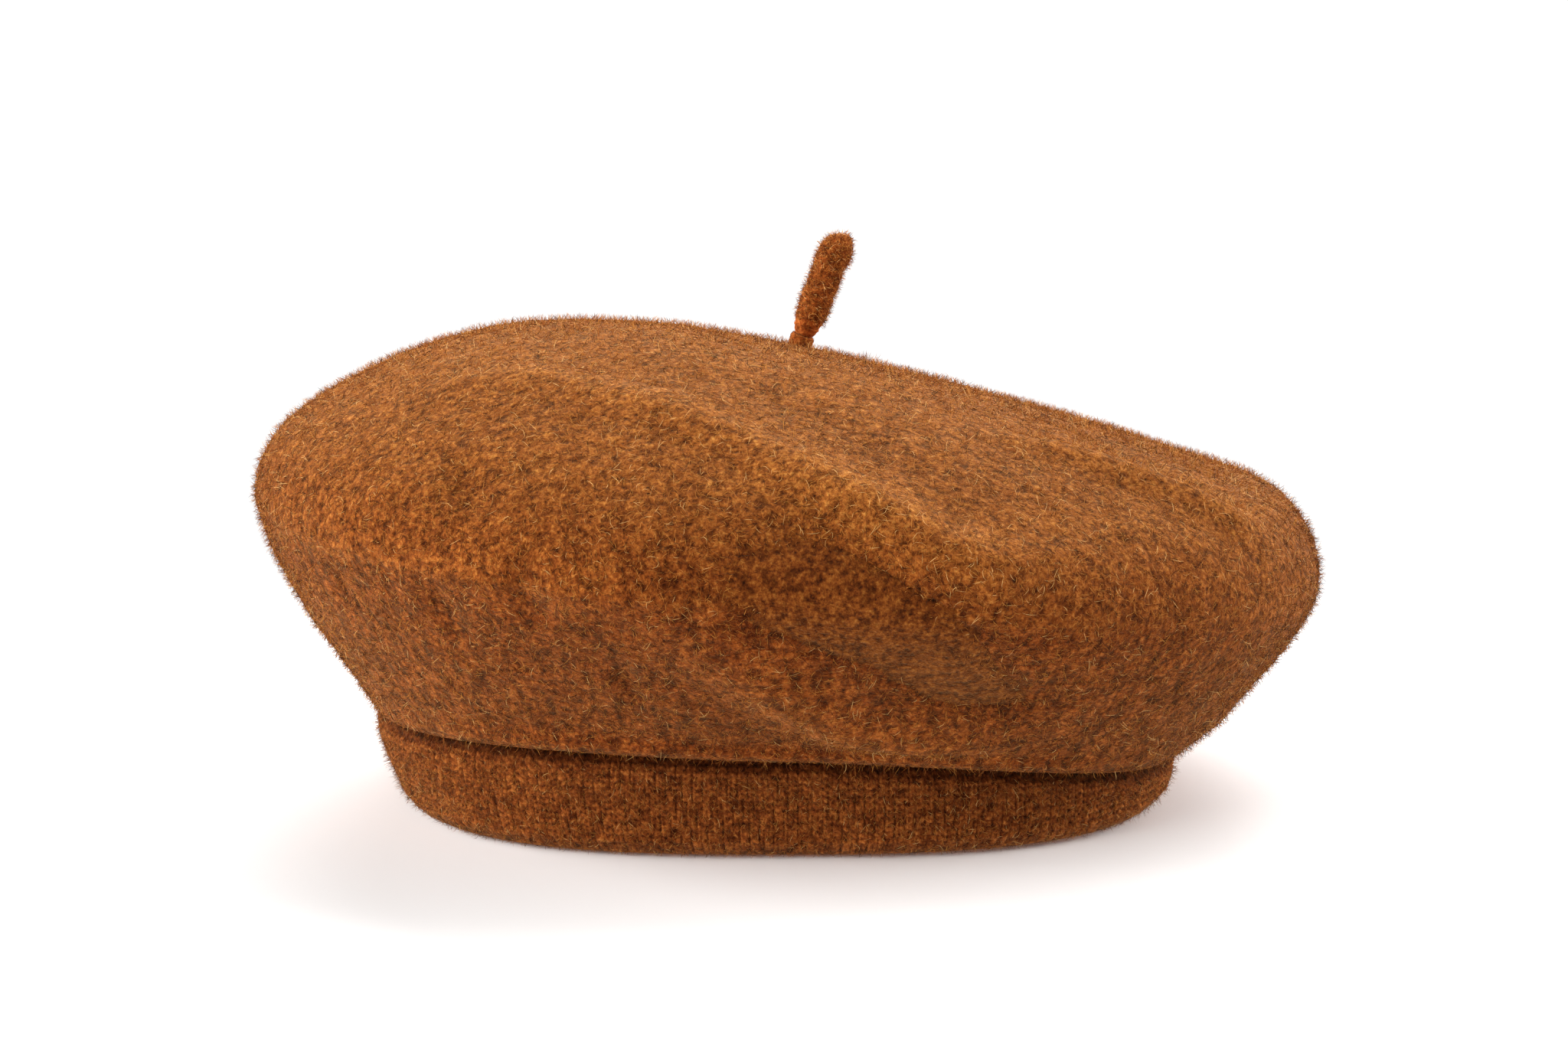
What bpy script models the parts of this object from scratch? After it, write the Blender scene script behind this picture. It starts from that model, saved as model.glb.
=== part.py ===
"""A knitted and fulled wool beret with a felt stem, standing on its folded headband.

Metres, +Z up, -Y is the front. The headband stands on Z = 0, and the crown's box is centred on X = Y = 0.
The crown flops: it is high at the front left and low at the back right, and its lower edge rolls over the band.
"""

import math

import bmesh
import bpy
from mathutils import Vector

# Driving dimensions
CROWN_WIDTH = 0.265  # across the rim, along X
CROWN_DEPTH = 0.252  # across the rim, along Y
RIM_HEIGHT = 0.0615  # mean height of the rim
DOME_HEIGHT = 0.048  # top of the crown above the mean rim
TILT_X = 0.0125  # how far the flop lifts the left side and drops the right
TILT_Y = 0.010  # how far it lifts the front and drops the back
FELT = 0.0016  # thickness of the fulled cloth
BAND_WIDTH = 0.199  # headband outside, along X
BAND_DEPTH = 0.160  # headband outside, along Y
BAND_X = -0.003  # the headband's middle
BAND_HEIGHT = 0.0295
BAND_CLOTH = 0.0015  # thickness of one leaf
BAND_FOLDED = 0.0066  # thickness of the whole fold at its foot
LEAF_FOOT = 0.0035  # where the outer leaf starts to turn under
FOOT_TAPER = 0.0012
BAND_LEAN = 0.0045  # how far the headband's foot leans in at the left
FOOT_RANGE = (0.002, 0.010)  # heights between which the foot's taper ends
LEAN_RANGE = (0.004, 0.019)  # heights between which that lean ends
STEM_LENGTH = 0.0256  # from its pivot to its tip
STEM_LEAN = math.radians(20)  # to the right
GAP = 0.0003  # between pieces that touch

# Outline shapes
RIM_POWER = 2.15  # 2 is an ellipse, and more is squarer
BAND_POWER = 2.7
DOME_INNER = (1.825, -0.175)  # powers of the dome's curve: a mean and what the right side adds
DOME_OUTER = (0.455, -0.015)
UNDER_POWER = (1.25, 0.15)
TILT_TURN = 2.2  # the flop grows as the sine of this many radians from the middle to the rim
POLE_X = 0.0038  # the middle of the crown, where the stem is sewn
POLE_Y = 0.008
HOLE_SHARE = 0.012  # radius of the stem's hole, as a share of the rim's

# The roll of the crown's lower edge over the band
ROLL_HEIGHT = 0.0234  # its lowest line at the front and back
ROLL_SIDE_DROP = 0.0065  # how much lower it hangs at the sides
ROLL_LEAN = 0.0059  # how much lower still it hangs at the right, and higher at the left
ROLL_RADIUS = 0.0021
ROLL_START = math.radians(-40)
PINCH = 0.0030  # how far the band is drawn in behind the roll
PINCH_BELOW = 0.0035
PINCH_ABOVE = 0.0015

# Places in the fold, as (outward, height)
FOOT_PLACES = ((-0.0019, 0.0012), (-0.0030, 0.0), (-0.0050, 0.0), (-0.0062, 0.0012))
INNER_HEIGHTS = (0.0035, 0.010, 0.017, 0.023)
FACE_LEVELS = (3.0, 2.5, 2.0, 1.75, 1.5, 1.25, 1.0, 0.67, 0.33, 0.0)

# Yarns
LINK_RADIUS = 0.0004
HEM_RADIUS = 0.0004
SEAM_RADIUS = 0.0004
LABEL_STITCH_RADIUS = 0.0002
LINK_MIDDLE = -0.00285  # from the outline to the middle of the linking stitch
LINK_SWING = 0.00095
HEM_HEIGHT = 0.0226
HEM_SWING = 0.0010
SEAM_SWING = 0.0010
BAND_SEAM_SWING = 0.0008
BAND_SEAM_ENDS = (0.0040, 0.0200)
LABEL_STITCH_INSET = 0.0012
ELASTIC_RADIUS = 0.0007
ELASTIC_INSET = 0.0039  # from the outline to the middle of the elastic
ELASTIC_RISE = 0.0002  # how far it lies above the fold's inner face, besides the gap
STITCHES = 36  # turns of each ring stitch
POINTS_A_STITCH = 4

# Stem root
ROOT_RADIUS = 0.0031
PIVOT_RISE = 0.0040  # pivot above the crown's outer face
RING_TUBE = 0.00035
SHANK_RADIUS = 0.0005
KNOT_RADIUS = 0.0018

# Label and tag, on the inside of the back
INNER_FACE = -BAND_FOLDED
LABEL_X = -0.034
LABEL_LENGTH = 0.045
LABEL_LOW = 0.0050
LABEL_HIGH = 0.0185
LABEL_THICKNESS = 0.0004
TAG_X = 0.022
TAG_WIDTH = 0.016
TAG_DROP = 0.0150
TAG_THICKNESS = 0.0006
TAG_HINGE_HEIGHT = 0.0200
TAG_GAP = 0.0006

# Resolution
SEGMENTS = 48
TOP_STEPS = 9
UNDER_STEPS = 6
ROLL_STEPS = 4
BACK = math.pi / 2

# Colours, linear
CROWN_COLOUR = (0.40, 0.135, 0.030)
BAND_COLOUR = (0.24, 0.070, 0.016)
STEM_COLOUR = (0.27, 0.080, 0.018)
YARN_COLOUR = (0.30, 0.095, 0.024)
ELASTIC_COLOUR = (0.70, 0.66, 0.60)
LABEL_COLOUR = (0.62, 0.52, 0.38)


def clear_scene():
    for obj in list(bpy.data.objects):
        bpy.data.objects.remove(obj, do_unlink=True)


def new_collection(name):
    collection = bpy.data.collections.new(name)
    bpy.context.scene.collection.children.link(collection)
    return collection


def wool(name, colour):
    material = bpy.data.materials.new(name)
    material.use_nodes = True
    shader = material.node_tree.nodes["Principled BSDF"]
    shader.inputs["Base Color"].default_value = (*colour, 1.0)
    shader.inputs["Roughness"].default_value = 0.95
    shader.inputs["Metallic"].default_value = 0.0
    return material


def steps(first, last, count):
    return [first + (last - first) * i / count for i in range(count + 1)]


def smooth(low, high, value):
    share = min(max((value - low) / (high - low), 0.0), 1.0)
    return share * share * (3 - 2 * share)


def outline(angle, half_width, half_depth, power):
    """A point on a superellipse round the origin."""
    c, s = math.cos(angle), math.sin(angle)
    x = half_width * math.copysign(abs(c) ** (2 / power), c)
    y = half_depth * math.copysign(abs(s) ** (2 / power), s)
    return Vector((x, y, 0.0))


def band_point(angle, outward, height):
    """A point that lies this far outside the headband's outline."""
    point = outline(angle, BAND_WIDTH / 2 + outward, BAND_DEPTH / 2 + outward, BAND_POWER)
    left = max(-point.x / (BAND_WIDTH / 2), 0.0)
    lean = BAND_LEAN * left**2 * (1 - smooth(*LEAN_RANGE, height))
    return point + Vector((BAND_X + lean, 0.0, height))


def sided(power, angle):
    """A power that changes from the left side to the right."""
    mean, right = power
    return mean + right * math.cos(angle)


def roll_height(angle):
    c = math.cos(angle)
    return ROLL_HEIGHT - ROLL_SIDE_DROP * c * c - ROLL_LEAN * c


def crown_top(angle, share):
    """The crown's top face, from its middle (share 0) to the rim (share 1)."""
    point = outline(angle, CROWN_WIDTH / 2, CROWN_DEPTH / 2, RIM_POWER) * share
    point += Vector((POLE_X, POLE_Y, 0.0)) * (1 - share * share)
    tilt = TILT_X * math.cos(angle) + TILT_Y * math.sin(angle)
    inner, outer = sided(DOME_INNER, angle), sided(DOME_OUTER, angle)
    dome = DOME_HEIGHT * max(1 - share**inner, 0.0) ** outer
    point.z = RIM_HEIGHT + dome - tilt * math.sin(TILT_TURN * share)
    return point


def roll_point(angle, turn):
    """The rolled lower edge: turn -90 degrees is its lowest line, and -180 degrees faces the band."""
    middle = -PINCH + GAP + ROLL_RADIUS
    outward = middle + ROLL_RADIUS * math.cos(turn)
    return band_point(angle, outward, roll_height(angle) + ROLL_RADIUS * (1 + math.sin(turn)))


def crown_under(angle, share):
    """The crown's underside, from the rim (share 0) down to where the roll starts (share 1)."""
    rim = crown_top(angle, 1.0)
    foot = roll_point(angle, ROLL_START)
    point = foot + (rim - foot) * (1 - share ** sided(UNDER_POWER, angle))
    point.z = rim.z + (foot.z - rim.z) * share
    return point


def crown_stations():
    """(function, value) for each point of a section, from the stem's hole round to the band seam."""
    hole_turn = math.asin(HOLE_SHARE)
    found = [(crown_top, math.sin(turn)) for turn in steps(hole_turn, math.pi / 2, TOP_STEPS)]
    found += [(crown_under, share) for share in steps(0.0, 1.0, UNDER_STEPS)[1:]]
    found += [(roll_point, turn) for turn in steps(ROLL_START, -math.pi, ROLL_STEPS)[1:]]
    found.append((seam_edge, BAND_HEIGHT))
    return found


def seam_edge(angle, height):
    """The edge of the crown's cloth, which stands beside the band's top edge."""
    return band_point(angle, GAP - PINCH, height)


def leaf_height(angle, level):
    """Height up the outer leaf: level 0 is its foot, 1 and 2 are the ends of the pinch, and 3 is its top."""
    roll = roll_height(angle)
    heights = (LEAF_FOOT, roll - PINCH_BELOW, roll + PINCH_ABOVE, BAND_HEIGHT)
    lower = min(int(level), 2)
    return heights[lower] + (heights[lower + 1] - heights[lower]) * (level - lower)


def band_face(angle, level):
    """The outer leaf's outer face: full in the middle, drawn in at its foot and behind the crown's roll."""
    height = leaf_height(angle, level)
    taper = FOOT_TAPER * (1 - smooth(*FOOT_RANGE, height))
    return band_point(angle, -PINCH * smooth(1.0, 2.0, level) - taper, height)


def band_inside(angle, place):
    """The fold's foot and its inner leaf, at (outward, height)."""
    return band_point(angle, *place)


def band_stations():
    found = [(band_face, level) for level in FACE_LEVELS]
    found += [(band_inside, place) for place in FOOT_PLACES]
    found += [(band_inside, (INNER_FACE, height)) for height in INNER_HEIGHTS]
    return found


def link(obj, name, collection, material):
    obj.name = name
    obj.data.name = name
    for old in list(obj.users_collection):
        old.objects.unlink(obj)
    collection.objects.link(obj)
    obj.data.materials.clear()
    obj.data.materials.append(material)
    return obj


def mesh_object(mesh, name, collection, material):
    data = bpy.data.meshes.new(name)
    mesh.to_mesh(data)
    mesh.free()
    data.shade_smooth()
    return link(bpy.data.objects.new(name, data), name, collection, material)


def thicken(obj, thickness, offset):
    solid = obj.modifiers.new("Cloth", "SOLIDIFY")
    solid.thickness = thickness
    solid.offset = offset
    solid.use_even_offset = True
    solid.use_rim = True


def draped_ring(name, stations, thickness, collection, material):
    """Spins a flat strip round Z, one ring of points for each station, then drapes every point in place."""
    mesh = bmesh.new()
    row = [mesh.verts.new((1.0 + i, 0.0, 0.0)) for i in range(len(stations))]
    edges = [mesh.edges.new(pair) for pair in zip(row, row[1:])]
    bmesh.ops.spin(
        mesh,
        geom=row + edges,
        axis=(0, 0, 1),
        cent=(0, 0, 0),
        angle=2 * math.pi,
        steps=SEGMENTS,
        use_merge=True,
    )
    for vert in mesh.verts:
        angle = math.atan2(vert.co.y, vert.co.x)
        shape, value = stations[round(vert.co.xy.length) - 1]
        vert.co = shape(angle, value)
    obj = mesh_object(mesh, name, collection, material)
    thicken(obj, thickness, -1.0)
    return obj


def yarn(name, points, radius, collection, material, closed=False):
    """A round yarn along a row of points."""
    data = bpy.data.curves.new(name, "CURVE")
    data.dimensions = "3D"
    data.bevel_depth = radius
    data.bevel_resolution = 1
    data.use_fill_caps = True
    spline = data.splines.new("POLY")
    spline.points.add(len(points) - 1)
    for target, point in zip(spline.points, points):
        target.co = (*point, 1.0)
    spline.use_cyclic_u = closed
    return link(bpy.data.objects.new(name, data), name, collection, material)


def ring_stitch(shape):
    """Points of a stitch that runs right round the hat: shape takes the angle and the swing, from -1 to 1."""
    count = STITCHES * POINTS_A_STITCH
    turns = [2 * math.pi * i / count for i in range(count)]
    return [shape(turn, math.cos(STITCHES * turn)) for turn in turns]


def turned(name, profile, sides, place, direction, collection, material):
    """A solid turned from (radius, height) points, top to bottom, standing at place along direction."""
    mesh = bmesh.new()
    row = [mesh.verts.new((radius, 0.0, height)) for radius, height in profile]
    for pair in zip(row, row[1:]):
        mesh.edges.new(pair)
    obj = mesh_object(mesh, name, collection, material)
    screw = obj.modifiers.new("Turn", "SCREW")
    screw.axis = "Z"
    screw.steps = sides
    screw.render_steps = sides
    screw.use_merge_vertices = True
    screw.merge_threshold = 0.00001
    screw.use_smooth_shade = True
    obj.location = place
    obj.rotation_mode = "QUATERNION"
    obj.rotation_quaternion = Vector((0, 0, 1)).rotation_difference(direction)
    return obj


def crown_normal(shape, angle, value, reach=0.002):
    """The outward direction of the crown's face, from two small steps along it."""
    along = shape(angle, value + reach) - shape(angle, value - reach)
    across = shape(angle + reach, value) - shape(angle - reach, value)
    return along.cross(across).normalized()


def pole_frame():
    """The crown's middle and its upward normal there."""
    middle = crown_top(0.0, 0.0)
    right, left = crown_top(0.0, HOLE_SHARE), crown_top(math.pi, HOLE_SHARE)
    back, front = crown_top(BACK, HOLE_SHARE), crown_top(-BACK, HOLE_SHARE)
    return middle, (right - left).cross(back - front).normalized()


def make_crown(parts):
    return draped_ring("crown", crown_stations(), FELT, parts, wool("crown_felt", CROWN_COLOUR))


def make_crown_seam(parts):
    """The yarn that closes the crown's radial seam, zigzagging up the inside of the back."""
    inset = FELT + 2 * GAP + SEAM_RADIUS
    values = [(crown_under, share) for share in steps(0.86, 0.08, 9)]
    values += [(crown_top, math.sin(turn)) for turn in steps(math.radians(84), math.radians(7), 22)]
    points = []
    for number, (shape, value) in enumerate(values):
        sideways = SEAM_SWING * (-1) ** number
        inward = crown_normal(shape, BACK, value) * -inset
        points.append(shape(BACK, value) + inward + Vector((sideways, 0.0, 0.0)))
    return yarn("crown_seam_thread", points, SEAM_RADIUS, parts, wool("seam_yarn", YARN_COLOUR))


def make_headband(parts):
    return draped_ring("headband", band_stations(), BAND_CLOTH, parts, wool("band_knit", BAND_COLOUR))


def make_elastic(parts):
    height = BAND_CLOTH + GAP + ELASTIC_RADIUS + ELASTIC_RISE
    turns = [2 * math.pi * i / SEGMENTS for i in range(SEGMENTS)]
    points = [band_point(turn, -ELASTIC_INSET, height) for turn in turns]
    material = wool("elastic", ELASTIC_COLOUR)
    return yarn("headband_elastic", points, ELASTIC_RADIUS, parts, material, closed=True)


def make_link_thread(parts):
    """The yarn that lies to and fro over the crown's edge and the band's edge."""
    height = BAND_HEIGHT + GAP + LINK_RADIUS
    points = ring_stitch(lambda turn, swing: band_point(turn, LINK_MIDDLE + LINK_SWING * swing, height))
    material = wool("linking_yarn", YARN_COLOUR)
    return yarn("band_linking_thread", points, LINK_RADIUS, parts, material, closed=True)


def make_hem_thread(parts):
    outward = INNER_FACE - GAP - HEM_RADIUS
    points = ring_stitch(lambda turn, swing: band_point(turn, outward, HEM_HEIGHT + HEM_SWING * swing))
    return yarn("hem_stitch_thread", points, HEM_RADIUS, parts, wool("hem_yarn", YARN_COLOUR), closed=True)


def make_band_seam(parts):
    """The short upright seam that closes the headband, on the inside of the back."""
    outward = INNER_FACE - GAP - SEAM_RADIUS
    points = []
    for number, height in enumerate(steps(*BAND_SEAM_ENDS, 10)):
        sideways = BAND_SEAM_SWING * (-1) ** number
        points.append(band_point(BACK, outward, height) + Vector((sideways, 0.0, 0.0)))
    return yarn("headband_seam_thread", points, SEAM_RADIUS, parts, wool("band_yarn", YARN_COLOUR))


def back_angle(x):
    """The outline's angle where the inside of the headband's back passes this x."""
    share = (x - BAND_X) / (BAND_WIDTH / 2 + INNER_FACE)
    return math.acos(math.copysign(abs(share) ** (BAND_POWER / 2), share))


def make_label(parts):
    """A blank woven label that follows the inner leaf."""
    columns = [back_angle(LABEL_X + across) for across in steps(-LABEL_LENGTH / 2, LABEL_LENGTH / 2, 10)]
    rows = steps(LABEL_LOW, LABEL_HIGH, 2)
    mesh = bmesh.new()
    bmesh.ops.create_grid(mesh, x_segments=len(columns) - 1, y_segments=len(rows) - 1, size=0.5)
    for vert in mesh.verts:
        column = round((vert.co.x + 0.5) * (len(columns) - 1))
        row = round((vert.co.y + 0.5) * (len(rows) - 1))
        vert.co = band_point(columns[column], INNER_FACE - GAP, rows[row])
    label = mesh_object(mesh, "label", parts, wool("label_weave", LABEL_COLOUR))
    thicken(label, LABEL_THICKNESS, 1.0)
    return label


def make_label_stitch(parts):
    """One running stitch right round the label, just inside its edge."""
    outward = INNER_FACE - 2 * GAP - LABEL_THICKNESS - LABEL_STITCH_RADIUS
    inset = LABEL_STITCH_INSET
    low, high = LABEL_LOW + inset, LABEL_HIGH - inset
    left, right = LABEL_X - LABEL_LENGTH / 2 + inset, LABEL_X + LABEL_LENGTH / 2 - inset
    corners = [(x, low) for x in steps(left, right, 14)]
    corners += [(right, height) for height in steps(low, high, 4)[1:-1]]
    corners += [(x, high) for x in steps(right, left, 14)]
    corners += [(left, height) for height in steps(high, low, 4)[1:-1]]
    points = [band_point(back_angle(x), outward, height) for x, height in corners]
    material = wool("label_yarn", YARN_COLOUR)
    return yarn("label_stitch_thread", points, LABEL_STITCH_RADIUS, parts, material, closed=True)


def tag_hinge():
    """The middle of the tag's sewn edge and the direction along it, from left to right."""
    left = band_point(back_angle(TAG_X - TAG_WIDTH / 2), INNER_FACE, TAG_HINGE_HEIGHT)
    right = band_point(back_angle(TAG_X + TAG_WIDTH / 2), INNER_FACE, TAG_HINGE_HEIGHT)
    along = (right - left).normalized()
    inward = along.cross(Vector((0, 0, 1)))
    return (left + right) / 2 + inward * (TAG_GAP + TAG_THICKNESS / 2), along


def make_care_tag(parts):
    """A small blank tag that hangs from its upper edge, where its origin is."""
    middle, along = tag_hinge()
    mesh = bmesh.new()
    bmesh.ops.create_cube(mesh, size=1.0)
    bmesh.ops.scale(mesh, vec=(TAG_WIDTH, TAG_THICKNESS, TAG_DROP), verts=mesh.verts)
    bmesh.ops.translate(mesh, vec=(0.0, 0.0, -TAG_DROP / 2), verts=mesh.verts)
    tag = mesh_object(mesh, "care_tag", parts, wool("tag_tape", LABEL_COLOUR))
    tag.data.shade_flat()
    tag.location = middle
    tag.rotation_euler = (0.0, 0.0, math.atan2(along.y, along.x))
    return tag


def stem_frame():
    """The stem's pivot and the direction that it stands in."""
    middle, normal = pole_frame()
    return middle + normal * PIVOT_RISE, Vector((math.sin(STEM_LEAN), 0.0, math.cos(STEM_LEAN)))


def make_stem(parts):
    """The felt stalk: a round root on the pivot, a slightly drawn-in neck and a blunt tip."""
    pivot, direction = stem_frame()
    tip = STEM_LENGTH
    upper = ((0.0, tip), (0.0020, tip - 0.0002), (0.0034, tip - 0.0014), (0.0038, tip - 0.0040))
    shaft = ((0.0036, 0.0200), (0.0034, 0.0130), (0.0032, 0.0070), (0.0029, 0.0036), (0.0028, 0.0020))
    root = [
        (ROOT_RADIUS * math.cos(turn), ROOT_RADIUS * math.sin(turn))
        for turn in steps(math.radians(20), math.radians(-90), 6)
    ]
    root[-1] = (0.0, -ROOT_RADIUS)
    material = wool("stem_felt", STEM_COLOUR)
    return turned("stem", [*upper, *shaft, *root], 20, pivot, direction, parts, material)


def make_root_thread(parts):
    """The whipping round the stem's root, level with the pivot."""
    pivot, direction = stem_frame()
    bpy.ops.mesh.primitive_torus_add(
        major_segments=24,
        minor_segments=6,
        major_radius=ROOT_RADIUS + GAP + RING_TUBE,
        minor_radius=RING_TUBE,
        location=pivot,
        rotation=Vector((0, 0, 1)).rotation_difference(direction).to_euler(),
    )
    ring = bpy.context.object
    ring.data.shade_smooth()
    return link(ring, "stem_root_thread", parts, wool("root_yarn", YARN_COLOUR))


def make_anchor_thread(parts):
    """The yarn through the crown's hole, from just under the stem down to its knot inside."""
    middle, normal = pole_frame()
    top = PIVOT_RISE - ROOT_RADIUS - GAP
    knot = -FELT - GAP - KNOT_RADIUS
    profile = [(0.0, top), (SHANK_RADIUS, top), (SHANK_RADIUS, knot + 0.96 * KNOT_RADIUS)]
    profile += [
        (KNOT_RADIUS * math.cos(turn), knot + KNOT_RADIUS * math.sin(turn))
        for turn in steps(math.radians(55), math.radians(-90), 6)
    ]
    profile[-1] = (0.0, knot - KNOT_RADIUS)
    material = wool("anchor_yarn", YARN_COLOUR)
    return turned("stem_anchor_thread", profile, 12, middle, normal, parts, material)


def main():
    clear_scene()
    parts = new_collection("beret")
    make_crown(parts)
    make_crown_seam(parts)
    make_headband(parts)
    make_elastic(parts)
    make_link_thread(parts)
    make_hem_thread(parts)
    make_band_seam(parts)
    make_label(parts)
    make_label_stitch(parts)
    make_care_tag(parts)
    make_stem(parts)
    make_root_thread(parts)
    make_anchor_thread(parts)


main()
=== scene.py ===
"""Looks of a knitted and fulled wool beret with a felt stem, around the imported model.

Metres, +Z up, -Y is the front. The crown, headband and stem are fine meshes on the same formulas as
the solids that they replace. Folds, knitted stitches and a nap of short curly wool fibres are
modelled on them.
"""

import math

import bpy
import numpy as np
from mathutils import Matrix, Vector, noise


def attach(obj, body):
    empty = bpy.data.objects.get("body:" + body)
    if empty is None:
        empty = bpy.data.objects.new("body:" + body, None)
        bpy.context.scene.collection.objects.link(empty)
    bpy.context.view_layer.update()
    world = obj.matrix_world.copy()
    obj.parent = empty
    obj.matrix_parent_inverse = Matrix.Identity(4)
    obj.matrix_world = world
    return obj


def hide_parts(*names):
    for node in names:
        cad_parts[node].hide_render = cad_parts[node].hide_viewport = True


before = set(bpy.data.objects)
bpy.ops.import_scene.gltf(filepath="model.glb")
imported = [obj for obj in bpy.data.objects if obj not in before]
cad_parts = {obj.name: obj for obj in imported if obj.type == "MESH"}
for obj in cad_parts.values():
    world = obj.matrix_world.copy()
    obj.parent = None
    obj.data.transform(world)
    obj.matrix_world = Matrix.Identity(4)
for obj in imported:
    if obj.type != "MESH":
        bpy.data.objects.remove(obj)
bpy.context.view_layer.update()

# The solids' own dimensions
CROWN_HALF = (0.1325, 0.126)
RIM_HEIGHT = 0.0615
DOME_HEIGHT = 0.048
TILT = (0.0125, 0.010)
FELT = 0.0016
RIM_POWER = 2.15
DOME_INNER = (1.825, -0.175)
DOME_OUTER = (0.455, -0.015)
UNDER_POWER = (1.25, 0.15)
TILT_TURN = 2.2
POLE = (0.0038, 0.008)
HOLE_SHARE = 0.012
BAND_HALF = (0.0995, 0.080)
BAND_X = -0.003
BAND_POWER = 2.7
BAND_HEIGHT = 0.0295
BAND_CLOTH = 0.0015
INNER_FACE = -0.0066
LEAF_FOOT = 0.0035
FOOT_TAPER = 0.0012
BAND_LEAN = 0.0045
LEAN_RANGE = (0.004, 0.019)
ROLL_HEIGHT = 0.0234
ROLL_SIDE_DROP = 0.0065
ROLL_LEAN = 0.0059
ROLL_RADIUS = 0.0021
ROLL_START = math.radians(-40)
PINCH = 0.0030
PINCH_BELOW = 0.0035
PINCH_ABOVE = 0.0015
GAP = 0.0003
STEM_LEAN = math.radians(20)
ROOT_RADIUS = 0.0031
PIVOT_RISE = 0.0040

# Resolution of the fine meshes
CROWN_COLUMNS = 520
CROWN_TOP_ROWS = 100
CROWN_UNDER_ROWS = 56
ROLL_ROWS = 8
LINING_STEP = 8  # the cloth's plain inside has one row for this many outside
WALES = 246
COLUMNS_A_WALE = 5
HIDDEN_ROWS = 6  # rows of the headband's outer leaf behind the crown's roll
PINCH_ROWS = 13  # where it is drawn in under the roll
OPEN_ROWS = 38  # in the open
FOOT_ROWS = 5  # turned under at the hem
OUTLINE_STEPS = 7201
STEM_SIDES = 72
STEM_ROWS = 110
SEAT_SIDES = 64
WHIP_COLUMNS = 96
WHIP_SIDES = 10

# Crown: fullness that the plain formula leaves out. Reach runs from 0 at the middle over 1 at the
# rim to 2 at the rolled edge. Sides are a bearing and a width in degrees, and bands of reach are
# their middle and width.
RIGHT_SIDE = (0, 70)
LEFT_SIDE = (185, 60)
FRONT_SIDE = (275, 85)
SHOULDER_BAND = (0.93, 0.09)
RIM_BAND = (1.0, 0.10)
LOW_BAND = (1.35, 0.30)
FOOT_BAND = (1.80, 0.16)
LIP_BAND = (1.97, 0.06)
SHOULDER_RISE = 0.0030
LEFT_RIM_RISE = 0.0030
LEFT_LOW_DROP = 0.0015
RIGHT_FOOT_FULLNESS = 0.0020
MIDDLE_DROP = 0.0012
MIDDLE_FADE = (0.10, 0.50)
LIP_FORWARD = 0.0030
FOLDS_START = (0.10, 0.25)  # reach over which the folds set in, clear of the stem
FOLDS_STOP = (1.80, 1.97)  # reach over which they stop, clear of the headband
FOLD_END = 0.08  # how far into its rise a fold already is at its ends, of half a wave
WALL_REACH = (0.90, 1.10)
WALL_SHADE_TONE = 0.4  # how much darker the wall's fibres are than the top's, as painted shade
RELIEF_SPAN = 0.0050  # height of a crest that is rubbed to its palest, and depth of the hollow with the darkest painted shade
WALE_STRETCH = 0.35  # how much shorter the streaks are made along the wales, so that they look longer
CROWN_BARE = (0.0036, 0.0046)  # distance from the crown's middle over which its nap sets in
ROLL_REACH = 1.99  # where the crown's nap stops

# Headband
FOOT_SAG = 0.0028  # how far its foot has crept forward at the front
FOOT_SAG_HEIGHT = 0.014
FOOT_SHADE = 0.35  # how much of its paleness the knit keeps right at the floor, under painted shade
FOOT_TUCK = 0.0016  # how far its outer leaf rounds under at the floor
FOOT_ROUND = 0.0045  # the height over which it does
FOOT_TAPER_HEIGHTS = (0.002, 0.010)
CREASE_SHADE_DEPTH = 0.0052  # how far below the crown's edge the crease's painted shade starts
CREASE_SHADE_EDGE = 0.0006
BAND_NAP_FOOT = 0.0006
HEM_FOLD = ((-0.0015, 0.0021), (-0.0021, 0.0010), (-0.0030, 0.00025), (-0.0040, 0.0),
            (-0.0050, 0.00025), (-0.0059, 0.0010), (-0.0065, 0.0021))  # outward, height
INNER_LEAF = (0.0035, 0.0065, 0.010, 0.014, 0.018, 0.0205, 0.023)  # heights
COURSE_HEIGHT = 0.0016
WALE_DRIFT = (0.25, 0.012, 5)  # how far the wales wander, in wales, and its size and noise seed
COURSE_DRIFT = (0.5, 0.010, 4)  # the same for the courses
LEG_ROUNDING = 0.7
LEG_SLANT = 0.55
LEG_LOW = 0.35  # how much of a stitch's height is left between it and the next one up
STITCH_HEIGHT = 0.0010
STITCH_MIDDLE = 0.40
KNIT_LUMPS = ((0.00022, 0.0035, 6), (0.0005, 0.020, 7))
KNIT_FADE = (0.6, 0.3, 0.1)  # how much of the knit shows on the rows that turn in under the hem
KNIT_SEAT = 0.003  # the height below which it flattens against the floor

# Stem: height from its pivot, and radius
STEM_PROFILE = (
    (-0.0031, 0.0), (-0.0029, 0.0011), (-0.0022, 0.0022), (-0.0010, 0.0029), (0.0004, 0.0031),
    (0.0016, 0.0035), (0.0034, 0.0037), (0.0070, 0.0038), (0.0120, 0.0037), (0.0160, 0.0038),
    (0.0190, 0.0040), (0.0212, 0.0039), (0.0230, 0.0033), (0.0242, 0.0026), (0.0248, 0.0014),
    (0.0250, 0.0),
)
STEM_SOFTENING = 3
STEM_END_RADIUS = 0.00002
STEM_WIDTH = 0.0038
STEM_CUT = 0.0014  # how obliquely its tip is cut
STEM_CUT_HEIGHTS = (0.0185, 0.0250)
STEM_KINK = 0.0005  # how far it bulges to the right below its tip
STEM_KINK_START = (0.016, 0.020)
STEM_KINK_STOP = (0.021, 0.0245)
STEM_LUMPS = ((0.06, 0.0060, 8), (0.07, 0.0016, 9))
STEM_ROOT_HEIGHT = 0.0022  # below this it stays inside its ball, so that it turns freely
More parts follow.
